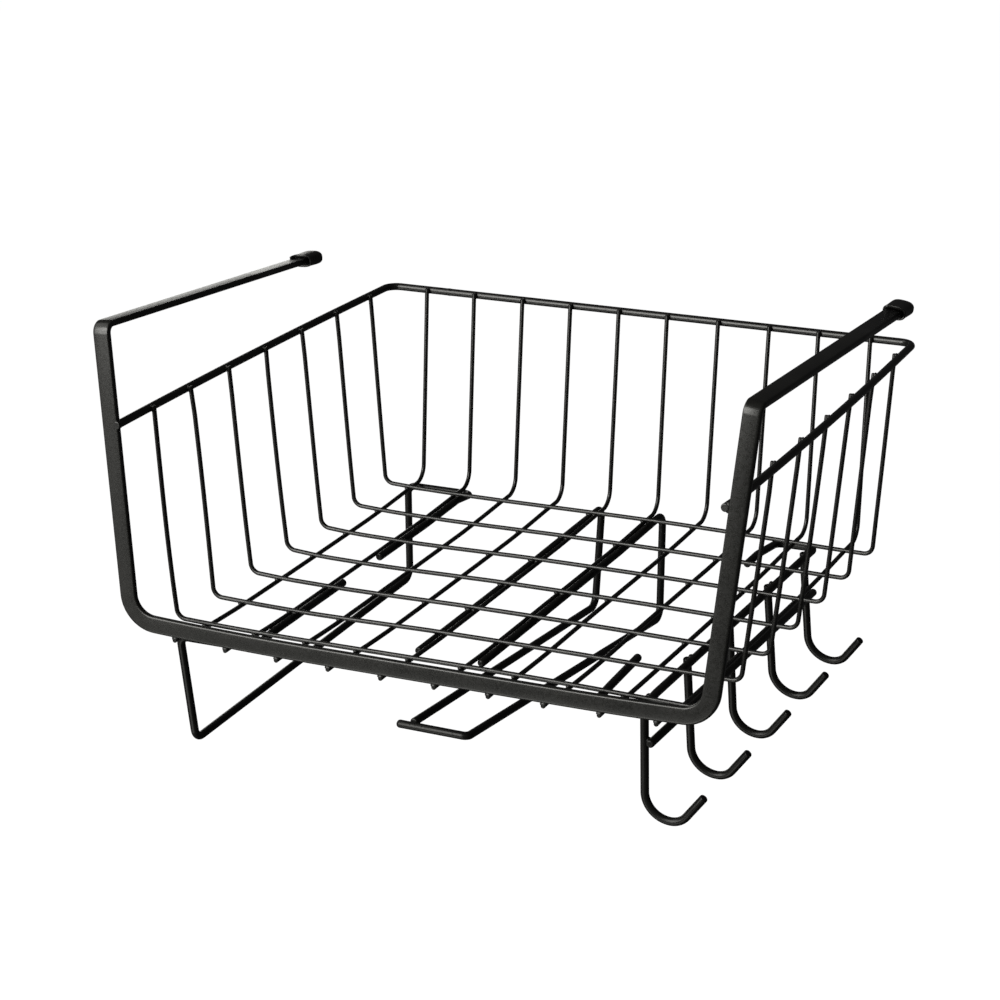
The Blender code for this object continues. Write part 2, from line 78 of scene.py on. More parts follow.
BAR_Z_FRONT, BAR_Z_REAR, BAR_LEG_FRONT_TIP, BAR_LEG_BACK_TIP = -87.5, -82.0, 160.0, 214.5
ROLL_LEFT_BACK, ROLL_LEFT_Z_REAR, ROLL_LEFT_Z_FRONT, ROLL_LEFT_SWING = 371.5, -82.9, -53.4, -4.6
ROLL_RIGHT_BACK, ROLL_RIGHT_Z_REAR, ROLL_RIGHT_Z_FRONT, ROLL_RIGHT_SWING = 375.2, -85.9, -55.8, -1.1
ROLL_RIGHT_TOE_IN, ROLL_ROD_FRONT, ROLL_BAR_OVERHANG, ROLL_BAR_BEND, ROLL_BAR_END_Z = -6.2, 61.0, 8.2, 3.8, -55.1
ROLL_LEG_TIP_LEFT, ROLL_LEG_TIP_RIGHT = 65.5, 62.0
RAIL_X, RAIL_DROP, RAIL_FRONT, RAIL_BACK = 139.2, 0.0165, 32.8, 367.5
RAIL_LEG_X_TIP, RAIL_LEG_X_FRONT, RAIL_LEG_X_REAR, RAIL_FRONT_TIP, RAIL_BACK_TIP = 107.2, 109.1, 111.2, 113.0, 304.0
LOWER_X_FRONT, LOWER_X_REAR, LOWER_Z_FRONT, LOWER_Z_REAR = 139.7, 140.8, -37.6, -43.9
LOWER_FRONT, LOWER_BACK = 51.0, 363.0
HOOK_N, HOOK_FIRST, HOOK_PITCH, HOOK_ABOVE, HOOK_BOTTOM, HOOK_SAG = 5, 56.1, 75.5, -1.0, -89.6, 1.5
HOOK_SHIFTS = (0.0, -2.2, 0.0, 0.0, 0.0)
HOOK_LEANS = (0.02, 0.113, 0.10, 0.133, 0.130)
HOOK_SPLAY, HOOK_SPLAY_STEP, HOOK_R, HOOK_R_TIP = 0.010, 0.007, 17.2, 12.9
HOOK_TIP_ANGLE, HOOK_TIP = 52.3, 19.2
ORIGIN = np.array((0.0, 160.0, (ARM_TOP_LEFT + ARM_TOP_RIGHT) / 2 - STRIP_T))

LONG_Z = CROSS_Z - THIN_R - GAP - THIN_R
LEG_Z = CROSS_Z - THIN_R - GAP - ROD_R
UNDER_Z = LONG_Z - THIN_R - GAP - ROD_R
UNDER_FRONT = UNDER_Z + 1.2
BESIDE = THIN_R + GAP + ROD_R
LEG_KNEE, LEG_LIFT = 290.0, 1.9
ROLL_BAR_Y = ROLL_ROD_FRONT - 2 * ROD_R - GAP - 0.2
COAT_T = 0.12                     # the powder coat's build-up on every wire
QUARTER = 16                      # steps of a wire's quarter turn


def cross_y(k):
    return CROSS_FIRST if k == 1 else CROSS_SECOND + (k - 2) * CROSS_PITCH


def long_x(k, y):
    s = k - (LONG_N + 1) / 2
    return LONG_SHIFT + s * (LONG_PITCH_FRONT + (LONG_PITCH_REAR - LONG_PITCH_FRONT) * y / LONG_FLOOR_BACK)


def flare(side):
    return FLARE_LEFT if side < 0 else FLARE_RIGHT


def bow_from(side):
    return BOW_FROM_LEFT if side < 0 else BOW_FROM_RIGHT


def bar_rise(x):
    return max(0.0, abs(x) - bow_from(x)) ** 2 / (2 * BOW_R)


def lift(y, x=0.0):
    """The floor rises a little to the front, except at its right side, and to the rear."""
    front = max(0.0, (95.0 - y) / (95.0 - CROSS_FIRST))
    rear = max(0.0, (y - 275.0) / 72.0)
    share = min(1.0, max(0.15, (128.0 - x) / 30.0))
    return LIFT_FRONT * share * front ** 1.5 + LIFT_REAR * rear ** 1.5


def inner_edge(side, z):
    return side * (STRIP_HALF + flare(side) * z - STRIP_W * math.sqrt(1 + flare(side) ** 2))


# ------------------------------------------------------------------ centre-lines
def route(corners, radius):
    """Centre-line through the corners; each inner corner is turned with its radius."""
    pts = [np.array(c, float) for c in corners]
    radii = radius if isinstance(radius, (list, tuple)) else [radius] * len(pts)
    out = [pts[0]]
    for i in range(1, len(pts) - 1):
        p = pts[i]
        u, v = pts[i - 1] - p, pts[i + 1] - p
        u, v = u / np.linalg.norm(u), v / np.linalg.norm(v)
        ang = math.acos(max(-1.0, min(1.0, float(u @ v))))
        turn = math.pi - ang
        if turn < 0.004 or radii[i] <= 0:
            out.append(p)
            continue
        r = radii[i]
        mid = (u + v) / np.linalg.norm(u + v)
        centre = p + mid * r / math.sin(ang / 2)
        start = p + u * r / math.tan(ang / 2) - centre
        e1 = start / np.linalg.norm(start)
        e2 = p + v * r / math.tan(ang / 2) - centre
        e2 = e2 - e1 * (e2 @ e1)
        e2 = e2 / np.linalg.norm(e2)
        steps = max(3, int(round(QUARTER * turn / (math.pi / 2))))
        for j in range(steps + 1):
            t = turn * j / steps
            out.append(centre + e1 * r * math.cos(t) + e2 * r * math.sin(t))
    out.append(pts[-1])
    return np.array(out)


def rim_x(side, y):
    a, m, b = RIM_LEFT if side < 0 else RIM_RIGHT
    y0, y1, y2 = 34.0, 200.0, 379.0
    return side * (a * (y - y1) * (y - y2) / ((y0 - y1) * (y0 - y2)) + m * (y - y0) * (y - y2) / ((y1 - y0) * (y1 - y2))
                   + b * (y - y0) * (y - y1) / ((y2 - y0) * (y2 - y1)))


def rim_route():
    """Both ends run on beside the uprights' inner edges and are cut flush with the strip's face."""
    stations = [34.0 + 14.8 * i for i in range(21)]
    pts = [(rim_x(-1, 0.0), -0.1, RIM_Z), (rim_x(-1, 12.0), 12.0, RIM_Z)]
    pts += [(rim_x(-1, y), y, RIM_Z) for y in stations]
    pts += [(rim_x(-1, 379.0), RIM_BACK, RIM_Z)]
    pts += [(SEAM_X + d, RIM_BACK, RIM_Z) for d in (-4.0, -2.5, -1.6, -1.0, -0.5, 0.0, 0.5, 1.0, 1.6, 2.5, 4.0)]
    pts += [(rim_x(1, 379.0), RIM_BACK, RIM_Z)]
    pts += [(rim_x(1, y), y, RIM_Z) for y in reversed(stations)]
    pts += [(rim_x(1, 12.0), 12.0, RIM_Z + 0.2), (rim_x(1, 0.0) + 0.1, -0.1, RIM_Z + 0.8)]
    n = len(stations)
    return route(pts, [0.0] * (n + 2) + [RIM_BEND] + [0.0] * 11 + [RIM_BEND] + [0.0] * (n + 2))


def rim_swell(p):
    """The rim's butt weld shows as a slight ring bead on its rear run."""
    return 0.16 * math.exp(-((p[0] - SEAM_X) / 1.1) ** 2) if p[1] > RIM_BACK - 0.1 else 0.0


def long_route(k):
    front, rear = long_x(k, 0.0), long_x(k, LONG_FLOOR_BACK)
    wall_top = RIM_BACK - RIM_R - GAP - THIN_R
    under = bar_rise(front) - GAP - THIN_R
    pts = [(front + 1.2, 0.2, under), (front + 1.1, LONG_RISE_START, under),
           (long_x(k, LONG_RISE_END) + 0.6, LONG_RISE_END, LONG_Z + lift(CROSS_FIRST, front) + 0.1)]
    stations = (CROSS_FIRST, 55.0, 68.0, 82.0, 95.0, 130.0, 165.0, 200.0, 240.0, 280.0, 298.0, 315.0, 331.0, 347.0)
    for y in stations:
        sway = LONG_SWAY[k - 1] * math.sin(math.pi * min(1.0, max(0.0, (y - 50.0) / 290.0)))
        pts.append((long_x(k, y) + sway, y, LONG_Z + lift(y, front)))
    pts += [(rear, LONG_FLOOR_BACK, LONG_Z + LONG_REAR_LIFT),
            (rear + LONG_LEAN + LONG_TOP[k - 1], wall_top, RIM_Z + RIM_R - 0.6)]
    return route(pts, [0, 12, 12] + [0] * len(stations) + [LONG_BEND, 0])


# no wire is quite straight: how far each long wire sways to the right on the floor, and at its top
LONG_SWAY = (0.7, 0.0, 0.3, 0.6, 0.0, 0.0, -0.7, -0.5, 0.4, 1.0)
LONG_TOP = (-1.1, -0.6, 0.3, 0.45, 0.35, -0.35, 0.6, 0.9, -0.6, -0.7)
# how far each cross wire bulges outwards half-way up its two walls, and at its tops
BULGE_LEFT = (0.9, -0.2, 0.45, 0.5, 0.35, 0.3, 0.15)
BULGE_RIGHT = (0.0, 0.0, 0.3, 0.4, 0.2, 0.1, 0.2)
TOP_LEFT = (0.0, -0.8, -0.2, 0.3, -0.4, -0.3, -0.15)
TOP_RIGHT = (0.0, 0.5, 0.2, 0.2, -0.15, -0.3, 0.0)
# and how far its floor sags at the left, in the middle and at the right
SAG_LEFT = (0.0, 0.0, 0.6, 1.15, 1.0, 0.5, 0.3)
SAG_MIDDLE = (0.0, -1.2, -0.5, -0.2, -0.4, -0.3, 0.0)
SAG_RIGHT = (1.1, -1.2, 0.0, 0.4, 0.0, 0.6, 1.6)
# the floor isn't quite flat: the cross wires run slightly wavy from side to side
WAVE_X = (-184.0, -172.0, -150.0, -120.0, -90.0, -45.0, 0.0, 45.0, 80.0, 115.0, 150.0, 168.0, 186.0)
WAVE_Z = (0.9, 0.5, -0.1, -0.45, -0.5, -0.25, 0.0, 0.15, 0.25, 0.1, -0.2, -0.5, -0.6)


def cross_route(k):
    y = cross_y(k)
    beside_rim = RIM_R + THIN_R - 0.5            # the ends are pressed a little into the rim
    left, right = CROSS_LEFT + CROSS_SPREAD_LEFT * y, CROSS_RIGHT + CROSS_SPREAD_RIGHT * y
    zt, zb = RIM_Z + RIM_R - 0.4, CROSS_Z + lift(y)
    pts = route([(rim_x(-1, y) + beside_rim, y, zt), (-left, y, zb), (right, y, zb),
                 (rim_x(1, y) - beside_rim, y, zt)], [0, CROSS_BEND, CROSS_BEND, 0])
    a, b = floor_part(pts, zb)
    floor = [np.array((x, y, zb)) for x in np.linspace(pts[a][0], pts[b][0], 41)[1:-1]]
    walls = [[p + (q - p) * s for s in np.linspace(0.0, 1.0, 15)[1:-1]] for p, q in ((pts[0], pts[1]), (pts[-2], pts[-1]))]
    pts = np.array([pts[0]] + walls[0] + list(pts[1:a + 1]) + floor + list(pts[b:-1]) + walls[1] + [pts[-1]])
    low = np.clip((24.0 - pts[:, 2]) / 24.0, 0.0, 1.0)
    sag = np.interp(pts[:, 0], (-184.0, -160.0, -110.0, -30.0, 40.0, 120.0, 150.0, 184.0),
                    (0.2 * SAG_LEFT[k - 1], SAG_LEFT[k - 1], 0.8 * SAG_LEFT[k - 1], SAG_MIDDLE[k - 1], SAG_MIDDLE[k - 1],
                     0.7 * SAG_RIGHT[k - 1], SAG_RIGHT[k - 1], SAG_RIGHT[k - 1]))
    pts[:, 2] += (np.interp(pts[:, 0], WAVE_X, WAVE_Z) - sag) * low
    up = np.clip((pts[:, 2] - 6.0) / (RIM_Z - 6.0), 0.0, 1.0)
    outer = np.where(pts[:, 0] < 0, -1.0, 1.0)
    bulge = np.where(pts[:, 0] < 0, BULGE_LEFT[k - 1], BULGE_RIGHT[k - 1])
    top = np.where(pts[:, 0] < 0, TOP_LEFT[k - 1], TOP_RIGHT[k - 1])
    # the ends themselves stay on the rim
    pts[:, 0] += outer * (bulge * np.sin(np.pi * up ** 0.75) + top * np.sin(np.pi / 2 * np.minimum(1.0, up / 0.8))
                          * np.clip((RIM_Z - 1.0 - pts[:, 2]) / 14.0, 0.0, 1.0))
    return pts


def floor_part(pts, level):
    """Indices of the floor's two ends on a cross wire's line."""
    flat = [i for i in range(len(pts)) if abs(pts[i][2] - level) < 1e-6]
    return flat[0], flat[-1]


def bar_route():
    def leg(y):
        return long_x(2, y) + BESIDE
    zb = UNDER_Z + 1.8
    return route([(leg(BAR_LEG_FRONT_TIP), BAR_LEG_FRONT_TIP, LEG_Z), (leg(62.0), 62.0, LEG_Z),
                  (leg(BAR_FRONT), BAR_FRONT, UNDER_FRONT), (BAR_X_FRONT, BAR_FRONT, UNDER_FRONT),
                  (BAR_X_FRONT, BAR_FRONT + BAR_LEAN, BAR_Z_FRONT),
                  (BAR_X_REAR, BAR_BACK + 1.0, BAR_Z_REAR), (BAR_X_REAR, BAR_BACK, zb),
                  (leg(345.0), BAR_BACK, zb), (leg(345.0), 345.0, LEG_Z + LEG_LIFT * 0.8),
                  (leg(LEG_KNEE), LEG_KNEE, LEG_Z), (leg(BAR_LEG_BACK_TIP), BAR_LEG_BACK_TIP, LEG_Z)],
                 [0, 20, ROD_BEND, ROD_BEND, 9.0, 9.0, ROD_BEND, ROD_BEND, 12, 0, 0])


def roll_left_x(y):
    return long_x(5, y) - BESIDE


def roll_right_x(y):
    return long_x(6, y) + BESIDE


def roll_left_route():
    front, rear = roll_left_x(ROLL_LEG_TIP_LEFT), roll_left_x(ROLL_LEFT_BACK)
    # the leg is pressed into the rear cross wires where it rises with the floor
    return route([(front, ROLL_LEG_TIP_LEFT, LEG_Z), (roll_left_x(210.0), 210.0, LEG_Z),
                  (roll_left_x(250.0), 250.0, LEG_Z + 0.4), (roll_left_x(LEG_KNEE), LEG_KNEE, LEG_Z + 1.0),
                  (rear, ROLL_LEFT_BACK, LEG_Z + LEG_LIFT),
                  (rear + ROLL_LEFT_SWING, ROLL_LEFT_BACK, ROLL_LEFT_Z_REAR),
                  (front, ROLL_BAR_Y + ROD_R - 0.6, ROLL_LEFT_Z_FRONT)], [0, 0, 0, 0, 8.0, 8.0, 0])


def roll_right_route():
    front, rear = roll_right_x(ROLL_LEG_TIP_RIGHT), roll_right_x(ROLL_RIGHT_BACK)
    x_end = roll_left_x(ROLL_LEG_TIP_LEFT) - ROD_R - ROLL_BAR_OVERHANG
    return route([(front, ROLL_LEG_TIP_RIGHT, LEG_Z), (roll_right_x(LEG_KNEE), LEG_KNEE, LEG_Z),
                  (rear, ROLL_RIGHT_BACK, LEG_Z + LEG_LIFT),
                  (rear + ROLL_RIGHT_SWING, ROLL_RIGHT_BACK, ROLL_RIGHT_Z_REAR),
                  (front + ROLL_RIGHT_TOE_IN, ROLL_BAR_Y, ROLL_RIGHT_Z_FRONT),
                  (x_end, ROLL_BAR_Y, ROLL_BAR_END_Z)], [0, 0, 8.0, 8.0, ROLL_BAR_BEND, 0])


def rail_z(y):
    return LEG_Z - RAIL_DROP * max(0.0, y - 62.0)


def rail_route():
    zb = rail_z(RAIL_BACK)
    return route([(RAIL_LEG_X_TIP, RAIL_FRONT_TIP, LEG_Z), (RAIL_LEG_X_FRONT, 62.0, LEG_Z),
                  (RAIL_LEG_X_FRONT, RAIL_FRONT, UNDER_FRONT), (RAIL_X, RAIL_FRONT, UNDER_FRONT),
                  (RAIL_X, 62.0, LEG_Z),
                  (RAIL_X, RAIL_BACK, zb), (RAIL_LEG_X_REAR, RAIL_BACK, zb),
                  (RAIL_LEG_X_REAR, RAIL_BACK_TIP + 22.0, LEG_Z), (RAIL_LEG_X_REAR, RAIL_BACK_TIP, LEG_Z)],
                 [0, 20, ROD_BEND, ROD_BEND, 20, ROD_BEND, ROD_BEND, 20, 0])


def lower_rail_route():
    return np.array([(LOWER_X_FRONT, LOWER_FRONT, LOWER_Z_FRONT),
                     ((LOWER_X_FRONT + LOWER_X_REAR) / 2, (LOWER_FRONT + LOWER_BACK) / 2,
                      (LOWER_Z_FRONT + LOWER_Z_REAR) / 2),
                     (LOWER_X_REAR, LOWER_BACK, LOWER_Z_REAR)])


def hook_route(k):
    y = HOOK_FIRST + (k - 1) * HOOK_PITCH + HOOK_SHIFTS[k - 1]
    x = RAIL_X - 2 * ROD_R - GAP
    top = rail_z(y) + HOOK_ABOVE
    low = HOOK_BOTTOM - HOOK_SAG * (k - 1)
    lean, splay = HOOK_LEANS[k - 1], HOOK_SPLAY + HOOK_SPLAY_STEP * (k - 1)
    flat = [(0.0, top), (0.0, low + HOOK_R + 20.0), (0.0, low + HOOK_R)]
    for j in range(1, 25):
        t = math.pi / 2 * j / 24
        flat.append((HOOK_R - HOOK_R * math.cos(t), low + HOOK_R - HOOK_R * math.sin(t)))
    a = math.radians(HOOK_TIP_ANGLE)
    for j in range(1, 13):
        t = a * j / 12
        flat.append((HOOK_R + HOOK_R_TIP * math.sin(t), low + HOOK_R_TIP - HOOK_R_TIP * math.cos(t)))
    u, v = flat[-1]
    flat.append((u + HOOK_TIP * math.cos(a), v + HOOK_TIP * math.sin(a)))
    return np.array([(x + u + splay * (top - v), y + lean * (top - v), v) for u, v in flat])


def world(p):
    return (np.asarray(p, float) - ORIGIN) * MM


# ------------------------------------------------------------------ meshes
def new_mesh(name, verts, faces, mat, smooth=True):
    me = bpy.data.meshes.new(name)
    me.from_pydata([tuple(v) for v in verts], [], [tuple(f) for f in faces])
    me.update()
    me.polygons.foreach_set("use_smooth", [smooth] * len(me.polygons))
    ob = bpy.data.objects.new(name, me)
    me.materials.append(mat)
    bpy.context.scene.collection.objects.link(ob)
    return ob


def frames_along(pts):
    """Tangents and a section frame that doesn't twist."""
    seg = np.diff(pts, axis=0)
    seg /= np.linalg.norm(seg, axis=1)[:, None]
    tan = np.vstack([seg[:1], seg[:-1] + seg[1:], seg[-1:]])
    tan /= np.linalg.norm(tan, axis=1)[:, None]
    ref = np.array((0.0, 0.0, 1.0)) if abs(tan[0][2]) < 0.9 else np.array((1.0, 0.0, 0.0))
    n = ref - tan[0] * (ref @ tan[0])
    n /= np.linalg.norm(n)
    normals = [n]
    for i in range(1, len(pts)):
        n = normals[-1] - tan[i] * (normals[-1] @ tan[i])
        normals.append(n / np.linalg.norm(n))
    normals = np.array(normals)
    return tan, normals, np.cross(tan, normals)


def tube(pts, radius, sides, edge=0.35, swell=None):
    """Closed round bar along the line; its cut ends have a small rounded edge.  Millimetres."""
    pts = np.asarray(pts, float)
    keep = [0] + [i for i in range(1, len(pts)) if np.linalg.norm(pts[i] - pts[i - 1]) > 1e-4]
    pts = pts[keep]
    tan, n1, n2 = frames_along(pts)
    arc = np.concatenate([[0.0], np.cumsum(np.linalg.norm(np.diff(pts, axis=0), axis=1))])
    e = edge * radius
    rings = []
    for s in (0, 1):                                       # the two ends, from the cut face inwards
        i = 0 if s == 0 else len(pts) - 1
        sign = 1.0 if s == 0 else -1.0
        part = [(0.0, 0.45 * (radius - e)), (0.0, 0.93 * (radius - e))]
        for j in range(5):
            a = math.pi / 2 * j / 4
            part.append((e * (1 - math.cos(a)), radius - e + e * math.sin(a)))
        rings.append([(pts[i] + tan[i] * sign * d, i, r) for d, r in part])
    body = [(pts[i], i, radius + (swell(pts[i]) if swell else 0.0)) for i in range(1, len(pts) - 1)
            if arc[i] > e * 1.3 and arc[-1] - arc[i] > e * 1.3]
    order = rings[0] + body + rings[1][::-1]
    ang = 2 * math.pi * np.arange(sides) / sides
    verts, faces = [], []
    for p, i, r in order:
        verts += list(p + r * (np.cos(ang)[:, None] * n1[i] + np.sin(ang)[:, None] * n2[i]))
    m = len(order)
    for a in range(m - 1):
        for b in range(sides):
            c = (b + 1) % sides
            faces.append((a * sides + b, a * sides + c, (a + 1) * sides + c, (a + 1) * sides + b))
    verts.append(order[0][0])
    verts.append(order[-1][0])
    for b in range(sides):
        c = (b + 1) % sides
        faces.append((m * sides, c, b))
        faces.append((m * sides + 1, (m - 1) * sides + b, (m - 1) * sides + c))
    return np.array(verts), faces


def wire(name, pts, radius, mat, sides, node, edge=0.35, swell=None):
    verts, faces = tube(pts, radius, sides, edge, swell)
    ob = new_mesh(name, world(verts), faces, mat)
    return place(ob, "black_powder_coat", node)


def place(ob, slot, *nodes):
    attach(ob, "root")
    if nodes:
        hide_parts(*nodes)
    return ob


# ------------------------------------------------------------------ materials
def node_material(name):
    mat = bpy.data.materials.new(name)
    mat.use_nodes = True
    nt = mat.node_tree
    nt.nodes.clear()
    out = nt.nodes.new("ShaderNodeOutputMaterial")
    bsdf = nt.nodes.new("ShaderNodeBsdfPrincipled")
    nt.links.new(bsdf.outputs["BSDF"], out.inputs["Surface"])
    return mat, nt, bsdf


def noise_node(nt, coord, scale, detail, rough=0.5):
    n = nt.nodes.new("ShaderNodeTexNoise")
    n.inputs["Scale"].default_value = scale
    n.inputs["Detail"].default_value = detail
    n.inputs["Roughness"].default_value = rough
    nt.links.new(coord, n.inputs["Vector"])
    return n


def map_range(nt, value, a, b, lo, hi):
    m = nt.nodes.new("ShaderNodeMapRange")
    m.inputs["From Min"].default_value = a
    m.inputs["From Max"].default_value = b
    m.inputs["To Min"].default_value = lo
    m.inputs["To Max"].default_value = hi
    nt.links.new(value, m.inputs["Value"])
    return m.outputs["Result"]


def coat_material(name, dark, light, rough_lo, rough_hi, peel, spec):
    """Baked powder coat: orange peel, a finer grain, and patches of slightly duller finish."""
    mat, nt, bsdf = node_material(name)
    coord = nt.nodes.new("ShaderNodeTexCoord").outputs["Object"]
    patch = noise_node(nt, coord, 38.0, 3.0)
    mix = nt.nodes.new("ShaderNodeMix")
    mix.data_type = 'RGBA'
    mix.inputs["A"].default_value = dark
    mix.inputs["B"].default_value = light
    nt.links.new(map_range(nt, patch.outputs["Fac"], 0.35, 0.65, 0.0, 1.0), mix.inputs["Factor"])
    nt.links.new(mix.outputs["Result"], bsdf.inputs["Base Color"])
    grain = noise_node(nt, coord, 520.0, 2.0)
    nt.links.new(map_range(nt, grain.outputs["Fac"], 0.3, 0.7, rough_lo, rough_hi), bsdf.inputs["Roughness"])
    orange = noise_node(nt, coord, 900.0, 1.5, 0.4)
    fine = noise_node(nt, coord, 3600.0, 1.0)
    b1 = nt.nodes.new("ShaderNodeBump")
    b1.inputs["Strength"].default_value = peel
    b1.inputs["Distance"].default_value = 0.00006
    nt.links.new(orange.outputs["Fac"], b1.inputs["Height"])
    b2 = nt.nodes.new("ShaderNodeBump")
    b2.inputs["Strength"].default_value = peel * 0.5
    b2.inputs["Distance"].default_value = 0.00001
    nt.links.new(fine.outputs["Fac"], b2.inputs["Height"])
    nt.links.new(b1.outputs["Normal"], b2.inputs["Normal"])
    nt.links.new(b2.outputs["Normal"], bsdf.inputs["Normal"])
    bsdf.inputs["Metallic"].default_value = 0.0
    bsdf.inputs["Specular IOR Level"].default_value = spec
    return mat


COAT = coat_material("powder_coat_satin_black", (0.0058, 0.0058, 0.0054, 1), (0.0092, 0.0091, 0.0085, 1),
                     0.24, 0.31, 0.12, 0.5)
COAT_ROD = coat_material("powder_coat_rods", (0.0056, 0.0056, 0.0052, 1), (0.0088, 0.0087, 0.0082, 1),
                         0.27, 0.34, 0.12, 0.24)
COAT_STRIP = coat_material("powder_coat_strip", (0.0078, 0.0078, 0.0071, 1), (0.0126, 0.0125, 0.0115, 1),
                           0.25, 0.32, 0.07, 0.5)
COAT_WELD = coat_material("powder_coat_weld", (0.0075, 0.0075, 0.0072, 1), (0.0120, 0.0120, 0.0115, 1),
                          0.30, 0.42, 0.4, 0.4)
PLASTIC = coat_material("cap_plastic_black", (0.0072, 0.0072, 0.0070, 1), (0.0105, 0.0105, 0.0101, 1),
                        0.26, 0.34, 0.10, 0.42)


# ------------------------------------------------------------------ flat strip
class Arm:
    """One arm's place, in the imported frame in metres."""

    def __init__(self, side):
        f = math.atan(flare(side))
        top = (ARM_TOP_LEFT if side < 0 else ARM_TOP_RIGHT) * MM
        drop = math.atan(ARM_DROP_LEFT if side < 0 else ARM_DROP_RIGHT)
        y_axis = Vector((0.0, 1.0, 0.0))
        self.side = side
        self.axis = Vector((side * math.sin(f), 0.0, math.cos(f)))
        self.width = Vector((-side * math.cos(f), 0.0, math.sin(f)))
        corner = Vector(world((side * STRIP_HALF, 0, 0)))
        big = BOW_R - CORNER_R
        self.bow = math.asin(((STRIP_HALF - bow_from(side)) * math.cos(f) + BOW_R * math.sin(f) - CORNER_R) / big) - f
        self.turn = math.pi / 2 - f - self.bow
        cx = bow_from(side) + big * math.sin(self.bow)
        cz = BOW_R - big * math.cos(self.bow)
        self.corner = Vector(world((side * cx, 0, cz)))
        foot = (cx - STRIP_HALF) * MM * math.sin(f) + cz * MM * math.cos(f)
        self.hinge = (self.width + y_axis * ARM_SPLAY).normalized()
        self.bend = side * (math.pi / 2 + drop)
        outer_r = (ARM_BEND_R + STRIP_T) * MM
        reach = top / self.axis.z - outer_r * math.tan(abs(self.bend) / 2)
        self.upright = reach - foot
        self.centre = corner + self.axis * reach + y_axis * outer_r
        rot = Matrix.Rotation(self.bend, 3, self.hinge)
        self.along = rot @ self.axis
        self.across = rot @ self.width
        self.up = rot @ Vector((0.0, -1.0, 0.0))
        start = self.centre + self.up * outer_r
        reach_y = ARM_LEN * MM + Vector(world((0, 0, 0))).y
        self.length = (reach_y - start.y) / self.along.y
        self.tip = (start + self.along * self.length + self.across * (STRIP_W * MM / 2)
                    - self.up * (STRIP_T * MM / 2))


def about(centre, axis, angle):
    return Matrix.Translation(centre) @ Matrix.Rotation(angle, 4, axis) @ Matrix.Translation(-centre)


def strip_stations(side):
    """The section's placement from the middle of the front bar to the arm's tip."""
    arm = Arm(side)
    base = Vector(world((0, 0, 0)))
    y_axis = Vector((0, 1, 0))
    run = side * bow_from(side) * MM
    out = [Matrix.Translation((run * s, 0, 0)) for s in (0.0, 0.5, 1.0)]
    here = out[-1]
    centre = Vector((run, base.y, base.z + BOW_R * MM))
    out += [about(centre, y_axis, -side * arm.bow * j / 12) @ here for j in range(1, 13)]
    here = out[-1]
    out += [about(arm.corner, y_axis, -side * arm.turn * j / 28) @ here for j in range(1, 29)]
    here = out[-1]
    out += [Matrix.Translation(arm.axis * (arm.upright * s)) @ here for s in (0.34, 0.67, 1.0)]
    here = out[-1]
    out += [about(arm.centre, arm.hinge, arm.bend * j / 18) @ here for j in range(1, 19)]
    here = out[-1]
    out += [Matrix.Translation(arm.along * (arm.length * s)) @ here for s in (0.33, 0.66, 1.0)]
    return out


def rounded_section(steps):
    """The strip's section (y, z) in metres: a rectangle with rolled edges, the outer front one fuller."""
    p = world((0, 0, 0))
    w, t = STRIP_W, STRIP_T
    pts = []
    for cy, cz, a0, e in ((t, w, 0, 0.75), (0.0, w, 90, 1.0), (0.0, 0.0, 180, 1.75), (t, 0.0, 270, 0.75)):
        oy, oz = (cy - e if cy > 0 else e), (cz - e if cz > 0 else e)
        for j in range(steps + 1):
            a = math.radians(a0 + 90.0 * j / steps)
            pts.append((oy + e * math.cos(a), oz + e * math.sin(a)))
    # a vertex in the middle of each flat keeps the faces' shading flat
    out = []
    for i, q in enumerate(pts):
        out.append(q)
        nxt = pts[(i + 1) % len(pts)]
        if math.hypot(nxt[0] - q[0], nxt[1] - q[1]) > 1.2:
            # rolled strip: its outer face is crowned very slightly, the others are flat
            front = q[0] < 0.1 and nxt[0] < 0.1
            for s in ((0.06, 0.2, 0.35, 0.5, 0.65, 0.8, 0.94) if front else (0.06, 0.94)):
                crown = 0.16 * (1 - (2 * s - 1) ** 2) if front else 0.0
                out.append((q[0] + (nxt[0] - q[0]) * s - crown, q[1] + (nxt[1] - q[1]) * s))
    return [Vector((0.0, p[1] + y * MM, p[2] + z * MM)) for y, z in out]


def front_frame():
    section = rounded_section(6)
    left, right = strip_stations(-1), strip_stations(1)
    stations = left[::-1] + right[1:]
    verts, faces = [], []
    for m in stations:
        verts += [m @ v for v in section]
    n, k = len(section), len(stations)
    for a in range(k - 1):
        for b in range(n):
            c = (b + 1) % n
            faces.append((a * n + b, (a + 1) * n + b, (a + 1) * n + c, a * n + c))
    faces.append(tuple(range(n)))
    faces.append(tuple(reversed(range((k - 1) * n, k * n))))
    ob = new_mesh("strip_frame", verts, faces, COAT_STRIP)
    return place(ob, "black_powder_coat", "front_frame")


# ------------------------------------------------------------------ arm caps
def super_point(a, b, n, t):
    c, s = math.cos(t), math.sin(t)
    return (math.copysign(abs(c) ** (2 / n), c) * a, math.copysign(abs(s) ** (2 / n), s) * b)


